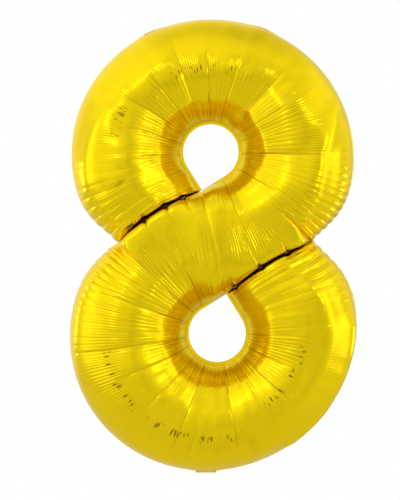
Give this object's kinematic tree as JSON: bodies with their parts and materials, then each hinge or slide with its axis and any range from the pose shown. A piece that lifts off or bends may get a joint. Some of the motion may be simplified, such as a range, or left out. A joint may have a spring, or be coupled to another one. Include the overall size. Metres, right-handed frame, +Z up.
{
  "type": "foil number balloon",
  "caption": "Foil balloon in the shape of the figure 8: two welded film panels, filling tail with a film valve, and hanging tabs that fold.",
  "frame": {"origin": "midway between the holes of the two hanging tabs, with the tabs folded back", "axes": "+X to the right seen from the front, +Y from the front panel to the back panel, +Z up; the welded seam lies in the plane y = -0.014 m"},
  "size_m": [0.547, 0.197, 0.8648],
  "materials": {
    "gold_foil": "mirror-bright yellow gold: polymer film with a vapour-deposited metal layer under a yellow lacquer",
    "valve_film": "plain translucent polyethylene film"
  },
  "bodies": {
    "balloon": {"front_foil": "gold_foil", "back_foil": "gold_foil", "upper_bridge_1": "gold_foil", "upper_bridge_2": "gold_foil", "upper_bridge_3": "gold_foil", "lower_bridge_1": "gold_foil", "lower_bridge_2": "gold_foil", "lower_bridge_3": "gold_foil", "valve_front_film": "valve_film", "valve_back_film": "valve_film"},
    "filling_tail": {"tail_front_film": "gold_foil", "tail_back_film": "gold_foil"},
    "right_tab": {"hanging_tab_right": "gold_foil"},
    "left_tab": {"hanging_tab_left": "gold_foil"},
    "front_lip": {"valve_front_lip": "valve_film"},
    "back_lip": {"valve_back_lip": "valve_film"}
  },
  "joints": [
    {"name": "tail_fold", "type": "hinge", "parent": "balloon", "child": "filling_tail", "pos_m": [-0.00107, -0.014, -0.84266], "axis": [-1, 0, 0], "range_deg": [0, 180]},
    {"name": "right_tab_fold", "type": "hinge", "parent": "balloon", "child": "right_tab", "pos_m": [0.10825, -0.014, 0.00368], "axis": [0.9349, 0, -0.355], "range_deg": [0, 180]},
    {"name": "left_tab_fold", "type": "hinge", "parent": "balloon", "child": "left_tab", "pos_m": [-0.10825, -0.014, -0.00368], "axis": [0.9064, 0, 0.4225], "range_deg": [0, 180]},
    {"name": "valve_opening", "type": "hinge", "parent": "balloon", "child": "front_lip", "pos_m": [-0.00107, -0.0144, -0.81066], "axis": [1, 0, 0], "range_deg": [0, 6]},
    {"name": "back_lip_opening", "type": "hinge", "parent": "balloon", "child": "back_lip", "pos_m": [-0.00107, -0.0136, -0.81066], "axis": [1, 0, 0], "range_deg": [-6, 0]}
  ],
  "couplings": [
    {"joint": "back_lip_opening", "follows": "valve_opening", "ratio": -1}
  ]
}
